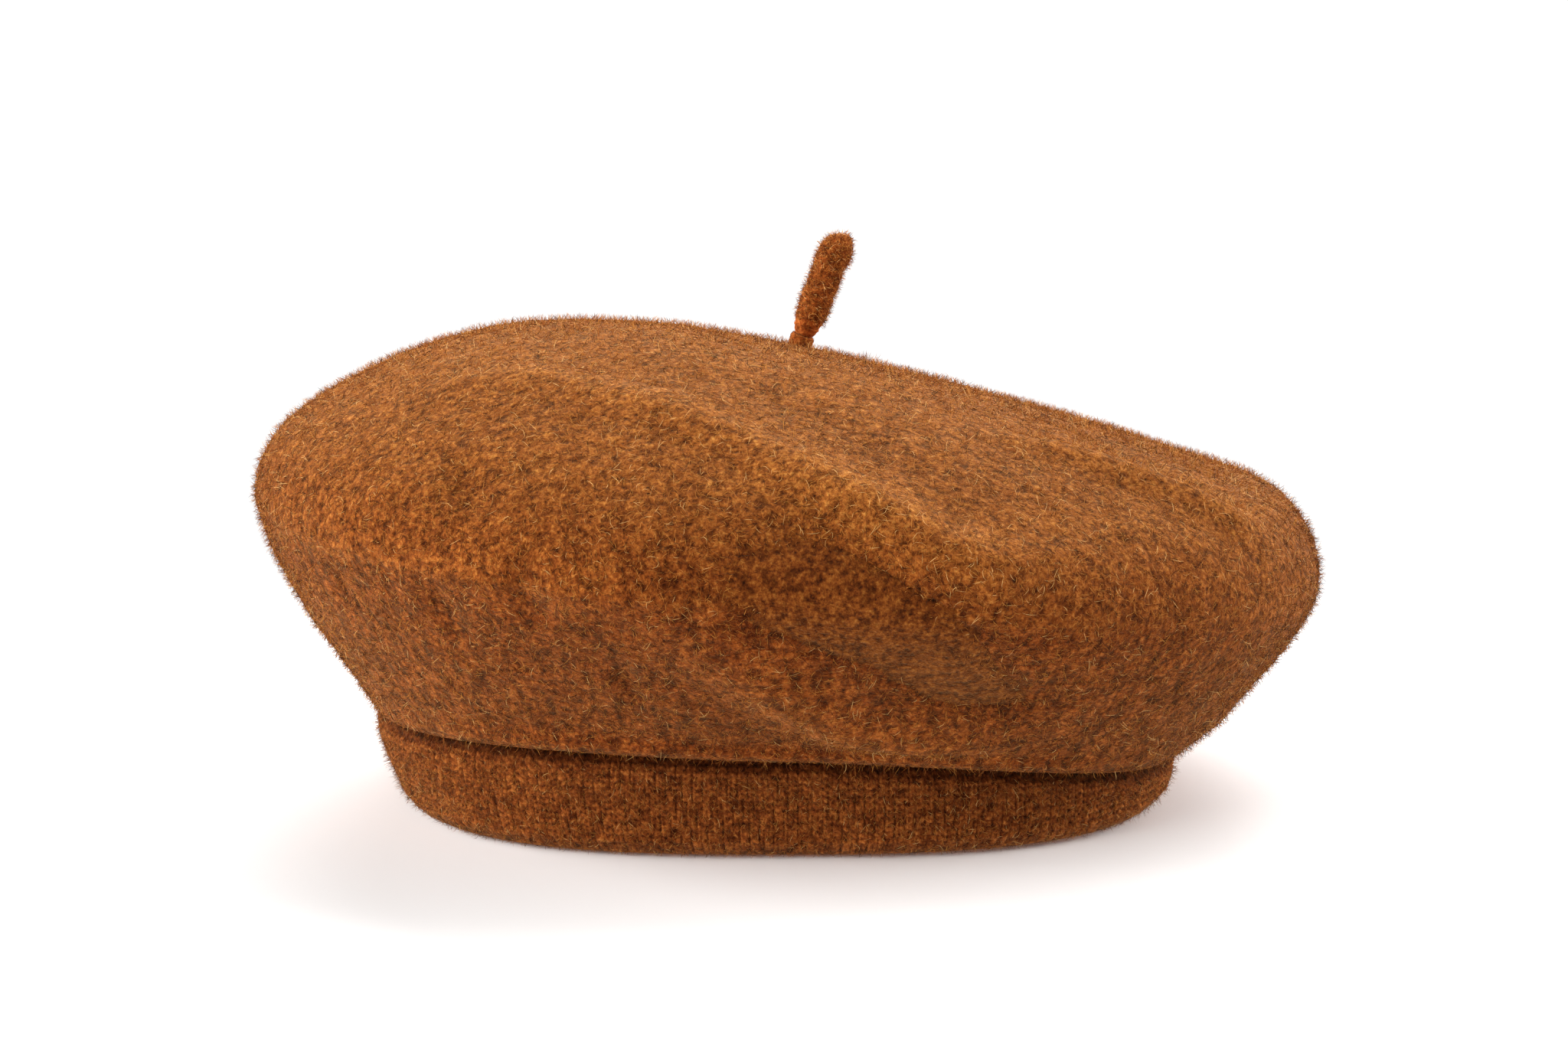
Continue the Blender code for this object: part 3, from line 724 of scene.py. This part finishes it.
def make_seat(material):
    """The cup of felt on the crown that the stem's round root is sewn into."""
    inner = ROOT_RADIUS + SEAT_GAP
    turns = np.radians(np.linspace(*SEAT_TURNS, SEAT_CUP_POINTS))
    profile = [(inner * math.cos(turn), inner * math.sin(turn)) for turn in turns]
    profile += SEAT_SKIRT
    return ring_of("beret_stem_seat", profile[::-1], SEAT_SIDES, SEAT_RIPPLE, material)


def make_whipping(material):
    """The turns of yarn that whip the stem's root, level with its pivot."""
    profile = []
    for number in range(WHIP_SIDES):
        turn = -2 * math.pi * number / WHIP_SIDES
        height = WHIP_TALL * WHIP_TUBE * math.sin(turn)
        profile.append((WHIP_RADIUS + WHIP_TUBE * math.cos(turn), height))
    return ring_of("beret_root_whipping", profile, WHIP_COLUMNS, WHIP_RIPPLE, material)[0]


# ---------------------------------------------------------------- nap

def surface_samples(grid, weight, count, rng):
    """Random points of a closed grid by area, with their normals, and the direction down the rows."""
    normal = normals_of(grid)
    down = np.gradient(grid, axis=1)
    across = (np.roll(grid, -1, 0) - np.roll(grid, 1, 0)) / 2
    area = np.linalg.norm(np.cross(down, across), axis=-1) * weight
    area[:, -1] = 0
    picked = rng.choice(area.size, count, p=(area / area.sum()).ravel())
    i, j = np.unravel_index(picked, area.shape)
    u, v = rng.random((2, count, 1))
    after = (i + 1) % len(grid)
    points = ((1 - u) * (1 - v) * grid[i, j] + u * (1 - v) * grid[after, j]
              + (1 - u) * v * grid[i, j + 1] + u * v * grid[after, j + 1])
    flow = down[i, j]
    return points, normal[i, j], flow / np.maximum(np.linalg.norm(flow, axis=-1, keepdims=True), 1e-12)


def fibre_mesh(name, points, normal, heading, length, radius, curl, rise, free, material):
    """Short curved fibres, three sided and tapered to both ends, which bend where they meet the floor."""
    count = len(points)
    side = np.cross(normal, heading)
    t = FIBRE_STEPS[None, :, None]
    loose = free[:, None, None]
    arch = np.where(loose, t ** LOOSE_BEND, np.sin(math.pi * t) - FLAT_SINK)
    path = (points[:, None] + heading[:, None] * (length[:, None, None] * (t - 0.5 * ~loose))
            + side[:, None] * (curl * length)[:, None, None] * (4 * (t - 0.5) ** 2)
            + normal[:, None] * rise[:, None, None] * arch)
    turn = (2 * math.pi / 3 * np.arange(3))[None, :, None]
    around = side[:, None] * np.cos(turn) + normal[:, None] * np.sin(turn)
    thickness = radius[:, None, None, None] * FIBRE_TAPER[None, :, None, None]
    rings = path[:, 1:3, None] + around[:, None] * thickness
    vertices = np.concatenate([path[:, :1], rings.reshape(count, 6, 3), path[:, 3:]], 1).reshape(-1, 3)
    vertices[:, 2] = np.maximum(vertices[:, 2], 0.0)
    quads = [(1 + k, 1 + (k + 1) % 3, 4 + (k + 1) % 3, 4 + k) for k in range(3)]
    tips = [(0, 1 + (k + 1) % 3, 1 + k) for k in range(3)]
    tips += [(7, 4 + k, 4 + (k + 1) % 3) for k in range(3)]
    start = (np.arange(count) * 8)[:, None, None]
    return mesh_from(name, vertices, (np.array(quads)[None] + start).reshape(-1, 4),
                     (np.array(tips)[None] + start).reshape(-1, 3), material)


def nap(prefix, grid, weight, count, materials, rng, sizes, along=0.0, free_share=0.5, rise=0.0005,
        tone=0.0):
    """A nap of fibres over a grid, one or more pieces for each shade.

    along turns the fibres to the rows' direction. tone, from -1 to 1, says where the dark or pale
    ones gather; on the crown, the dark ones in its hollows and on its wall are painted shade.
    """
    lengths, radii = sizes
    pieces = []
    for shade, share, lean, _ in SHADES:
        parts = math.ceil(count * share / MOST_FIBRES)
        number = int(count * share / parts)
        for part in range(parts):
            points, normal, flow = surface_samples(grid, weight * np.exp(lean * tone), number, rng)
            side = np.cross(normal, flow)
            bearing = rng.uniform(-math.pi, math.pi, number) * (1 - along)
            bearing += rng.choice([0.0, math.pi], number)
            heading = flow * np.cos(bearing)[:, None] + side * np.sin(bearing)[:, None]
            length = rng.uniform(*lengths, number) * (PALE_LENGTH if shade == "pale" else 1.0)
            radius = rng.uniform(*radii, number)
            curl = rng.normal(0, FIBRE_CURL, number)
            free = rng.random(number) < free_share
            length = np.where(free, FREE_LENGTH * length, length)
            lift = rise * rng.uniform(*LIFT_RANGE, number) * np.where(free, FREE_RISE, 1.0)
            pieces.append(fibre_mesh(f"{prefix}_{shade}_{part + 1}", points, normal, heading, length,
                                     radius, curl, lift, free, materials[shade]))
    return pieces


# ---------------------------------------------------------------- materials

def new_material(name, roughness, sheen, sheen_tint):
    material = bpy.data.materials.new(name)
    material.use_nodes = True
    shader = material.node_tree.nodes["Principled BSDF"]
    shader.inputs["Roughness"].default_value = roughness
    shader.inputs["Specular IOR Level"].default_value = SPECULAR
    shader.inputs["Sheen Weight"].default_value = sheen
    shader.inputs["Sheen Roughness"].default_value = SHEEN_ROUGHNESS
    shader.inputs["Sheen Tint"].default_value = (*sheen_tint, 1.0)
    return material, shader


def node(material, kind, **values):
    made = material.node_tree.nodes.new(kind)
    for key, value in values.items():
        if key in made.inputs:
            made.inputs[key].default_value = value
        else:
            setattr(made, key, value)
    return made


def noise_node(material, coordinates, scale, detail, roughness):
    made = node(material, "ShaderNodeTexNoise")
    made.inputs["Scale"].default_value = scale
    made.inputs["Detail"].default_value = detail
    made.inputs["Roughness"].default_value = roughness
    material.node_tree.links.new(coordinates, made.inputs["Vector"])
    return made


def ramp(material, source, stops):
    made = node(material, "ShaderNodeValToRGB")
    elements = made.color_ramp.elements
    while len(elements) < len(stops):
        elements.new(0.5)
    for element, (place, colour) in zip(elements, stops):
        element.position = place
        element.color = (*colour, 1.0)
    material.node_tree.links.new(source, made.inputs["Fac"])
    return made


def attribute(material, name, output):
    return node(material, "ShaderNodeAttribute", attribute_name=name).outputs[output]


def multiplied(material, colour, source, stops, factor=None):
    """colour times a ramp of source. factor, if given, says how much of it shows."""
    shade = ramp(material, source, stops)
    mixed = node(material, "ShaderNodeMix", data_type="RGBA", blend_type="MULTIPLY")
    mixed.inputs["Factor"].default_value = 1.0
    links = material.node_tree.links
    if factor is not None:
        links.new(factor, mixed.inputs["Factor"])
    links.new(colour, mixed.inputs["A"])
    links.new(shade.outputs["Color"], mixed.inputs["B"])
    return mixed.outputs["Result"]


def felted(name, stops, patch, sheen=WOOL_SHEEN, heather_scale=WOOL_HEATHER, bump=NUB_BUMP, knit=None):
    """Heathered wool: fibres of several colours, soft patches, painted nub shade, a bump of nubs and
    fibres.

    knit is "wales" for faint streaks where the cloth is stretched, with painted shade in the hollows
    and on the wall and paler rubbed crests, or "stitches" for painted shade between stitches, under
    the crown's roll and at the floor.
    """
    material, shader = new_material(name, WOOL_ROUGHNESS, sheen, WOOL_SHEEN_TINT)
    links = material.node_tree.links
    place = node(material, "ShaderNodeTexCoord").outputs["Object"]
    heather = noise_node(material, place, heather_scale, *HEATHER_NOISE)
    colour = ramp(material, heather.outputs["Fac"], stops).outputs["Color"]
    patches = noise_node(material, place, *PATCH_NOISE)
    patch_stops = tuple(zip(PATCH_PLACES, (patch, (1.0, 1.0, 1.0))))
    colour = multiplied(material, colour, patches.outputs["Fac"], patch_stops)
    nubs = noise_node(material, place, *NUB_NOISE)
    # painted shade between the nubs, lighter on their tops
    colour = multiplied(material, colour, nubs.outputs["Fac"], NUB_SHADE_STOPS)
    if knit == "wales":
        # painted shade in the crown's hollows, and paler rubbed crests
        colour = multiplied(material, colour, attribute(material, "relief", "Fac"), RELIEF_SHADE_AND_WEAR_STOPS)
        # painted shade on the crown's wall
        colour = multiplied(material, colour, attribute(material, "wall", "Fac"), WALL_SHADE_STOPS)
        streaks = noise_node(material, attribute(material, "cloth", "Vector"), *STREAK_NOISE)
        colour = multiplied(material, colour, streaks.outputs["Fac"], STREAK_STOPS,
                            attribute(material, "wall", "Fac"))
    if knit == "stitches":
        # painted shade between stitches, under the crown's roll and at the floor
        colour = multiplied(material, colour, attribute(material, "stitch", "Fac"), STITCH_SHADE_STOPS)
    links.new(colour, shader.inputs["Base Color"])
    fibre = noise_node(material, place, *FIBRE_NOISE)
    low = node(material, "ShaderNodeBump", Distance=bump, Strength=1.0)
    high = node(material, "ShaderNodeBump", Distance=bump * FINE_BUMP, Strength=1.0)
    links.new(nubs.outputs["Fac"], low.inputs["Height"])
    links.new(fibre.outputs["Fac"], high.inputs["Height"])
    links.new(low.outputs["Normal"], high.inputs["Normal"])
    links.new(high.outputs["Normal"], shader.inputs["Normal"])
    return material


def fibre_materials(kind):
    made = {}
    for shade, _, _, colour in SHADES:
        name = f"{kind}_fibre_{shade}"
        material, shader = new_material(name, FIBRE_ROUGHNESS, FIBRE_SHEEN, FIBRE_SHEEN_TINT)
        lit = (value * FIBRE_BRIGHTNESS[kind] for value in colour)
        shader.inputs["Base Color"].default_value = (*lit, 1.0)
        made[shade] = material
    return made


# ---------------------------------------------------------------- camera and light

def make_camera():
    data = bpy.data.cameras.new("camera")
    data.lens = CAMERA_LENS
    data.sensor_width = CAMERA_SENSOR
    camera = bpy.data.objects.new("camera", data)
    bpy.context.scene.collection.objects.link(camera)
    back = Vector((0.0, -math.cos(CAMERA_ELEVATION), math.sin(CAMERA_ELEVATION)))
    camera.location = CAMERA_TARGET + back * CAMERA_DISTANCE
    camera.rotation_mode = "QUATERNION"
    camera.rotation_quaternion = (-back).to_track_quat("-Z", "Y")
    bpy.context.scene.camera = camera


def make_sun(name, azimuth, elevation, strength):
    data = bpy.data.lights.new(name, "SUN")
    data.energy = math.pi * strength
    data.angle = SOFTBOX_SPREAD
    sun = bpy.data.objects.new(name, data)
    bpy.context.scene.collection.objects.link(sun)
    turn, rise = math.radians(azimuth), math.radians(elevation)
    across = math.cos(rise)
    towards = Vector((math.sin(turn) * across, -math.cos(turn) * across, math.sin(rise)))
    sun.rotation_mode = "QUATERNION"
    sun.rotation_quaternion = (-towards).to_track_quat("-Z", "Y")


def make_world():
    """A plain surround, bright below, where a lit floor would be, and dim above."""
    world = bpy.data.worlds.new("studio")
    bpy.context.scene.world = world
    world.use_nodes = True
    tree = world.node_tree
    place = tree.nodes.new("ShaderNodeTexCoord")
    split = tree.nodes.new("ShaderNodeSeparateXYZ")
    share = tree.nodes.new("ShaderNodeMapRange")
    share.inputs["From Min"].default_value = -1.0
    shade = tree.nodes.new("ShaderNodeValToRGB")
    elements = shade.color_ramp.elements
    while len(elements) < len(WORLD_STOPS):
        elements.new(0.5)
    for element, (at, value) in zip(elements, WORLD_STOPS):
        element.position = at
        element.color = (value, value, value, 1.0)
    tree.links.new(place.outputs["Generated"], split.inputs["Vector"])
    tree.links.new(split.outputs["Z"], share.inputs["Value"])
    tree.links.new(share.outputs["Result"], shade.inputs["Fac"])
    tree.links.new(shade.outputs["Color"], tree.nodes["Background"].inputs["Color"])


def make_floor():
    material, shader = new_material("floor_paper", FLOOR_ROUGHNESS, 0.0, (1.0, 1.0, 1.0))
    place = node(material, "ShaderNodeTexCoord").outputs["Object"]
    split = node(material, "ShaderNodeSeparateXYZ")
    share = node(material, "ShaderNodeMapRange", interpolation_type="SMOOTHSTEP")
    share.inputs["From Min"].default_value, share.inputs["From Max"].default_value = FLOOR_LIGHT_FALLOFF
    links = material.node_tree.links
    links.new(place, split.inputs["Vector"])
    links.new(split.outputs["Y"], share.inputs["Value"])
    # painted falloff of light: the paper's colour darkens behind the hat
    tone = ramp(material, share.outputs["Result"], FLOOR_FALLOFF_STOPS)
    links.new(tone.outputs["Color"], shader.inputs["Base Color"])
    shader.inputs["Emission Color"].default_value = (1.0, 1.0, 1.0, 1.0)
    shader.inputs["Emission Strength"].default_value = FLOOR_GLOW
    corners = FLOOR_REACH * np.array([(-1, -1, 0), (1, -1, 0), (1, 1, 0), (-1, 1, 0)])
    floor = mesh_from("floor", corners, np.array([[0, 1, 2, 3]]), NO_TRIANGLES, material)
    floor.location.z = -FLOOR_DROP
    floor.visible_diffuse = False


def repaint(name, material):
    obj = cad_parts[name]
    for slot in obj.material_slots:
        slot.material = material


def placed(piece, body, slot_name, *nodes):
    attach(piece, body)
    if nodes:
        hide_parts(*nodes)


def make_studio():
    bpy.context.scene.view_settings.view_transform = "Standard"
    make_camera()
    for name, azimuth, elevation, strength in SOFTBOXES:
        make_sun(name, azimuth, elevation, strength)
    make_world()
    make_floor()


def grow(pieces, body, slot_name):
    for piece in pieces:
        placed(piece, body, slot_name)


def grow_crown_nap(fine, reach, tone, rng, density):
    away = np.linalg.norm(fine - np.array(pole_frame()[0]), axis=-1)
    weight = smooth(*CROWN_BARE, away) * (reach < ROLL_REACH)
    pieces = nap("crown_nap", fine, weight, int(CROWN_FIBRES * density), fibre_materials("crown"), rng,
                 tone=tone, **CROWN_NAP)
    grow(pieces, "hat", "crown_felt")


def grow_band_nap(fine, lit_share, rng, density):
    weight = (fine[..., 2] > BAND_NAP_FOOT) * lit_share
    pieces = nap("headband_nap", fine, weight, int(BAND_FIBRES * density), fibre_materials("headband"),
                 rng, **BAND_NAP)
    grow(pieces, "hat", "band_knit")


def grow_tuft(fine, rng):
    weight = np.exp(-((np.linalg.norm(fine - np.array(TUFT_PLACE), axis=-1) / TUFT_SIZE) ** 2))
    pieces = nap("crown_tuft", fine, weight, TUFT_FIBRES, fibre_materials("tuft"), rng, **TUFT_NAP)
    grow(pieces, "hat", "crown_felt")


def grow_seat_nap(fine, rng):
    weight = np.ones(fine.shape[:2]) * SEAT_OUTSIDE
    pieces = nap("seat_nap", fine, weight, SEAT_FIBRES, fibre_materials("seat"), rng, **SEAT_NAP)
    grow(pieces, "hat", "stem_felt")


def grow_stem_nap(fine, pivot, rng, density):
    weight = smooth(*STEM_BARE, np.linalg.norm(fine - pivot, axis=-1))
    pieces = nap("stem_nap", fine, weight, int(STEM_FIBRES * density), fibre_materials("stem"), rng,
                 **STEM_NAP)
    grow(pieces, "stem", "stem_felt")


def repaint_cad_nodes():
    yarn = felted("wool_yarn", YARN_STOPS, YARN_PATCH, heather_scale=YARN_HEATHER, bump=THREAD_BUMP)
    for name in ("crown_seam_thread", "band_linking_thread", "hem_stitch_thread", "headband_seam_thread",
                 "label_stitch_thread", "stem_anchor_thread"):
        repaint(name, yarn)
    tape = felted("woven_tape", TAPE_STOPS, TAPE_PATCH, sheen=TAPE_SHEEN, heather_scale=TAPE_HEATHER,
                  bump=THREAD_BUMP)
    for name in ("headband_elastic", "label", "care_tag"):
        repaint(name, tape)


def main():
    rng = np.random.default_rng(SEED)
    make_studio()

    crown_wool = felted("crown_felt_wool", CROWN_STOPS, CROWN_PATCH, sheen=CROWN_SHEEN, knit="wales")
    crown, crown_fine, reach, tone = make_crown(crown_wool)
    placed(crown, "hat", "crown_felt", "crown")
    band_wool = felted("headband_knit_wool", BAND_STOPS, BAND_PATCH, knit="stitches")
    band, band_fine, band_lit_share = make_headband(band_wool)
    placed(band, "hat", "band_knit", "headband")
    stem_wool = felted("stem_felt_wool", STEM_STOPS, STEM_PATCH, heather_scale=STEM_HEATHER)
    stem, stem_fine, pivot = make_stem(stem_wool)
    placed(stem, "stem", "stem_felt", "stem")
    seat, seat_fine = make_seat(stem_wool)
    placed(seat, "hat", "stem_felt")
    placed(make_whipping(stem_wool), "stem_root", "wool_yarn", "stem_root_thread")

    density = 1.0
    grow_crown_nap(crown_fine, reach, tone, rng, density)
    grow_band_nap(band_fine, band_lit_share, rng, density)
    grow_tuft(crown_fine, rng)
    grow_seat_nap(seat_fine, rng)
    grow_stem_nap(stem_fine, pivot, rng, density)
    repaint_cad_nodes()


main()
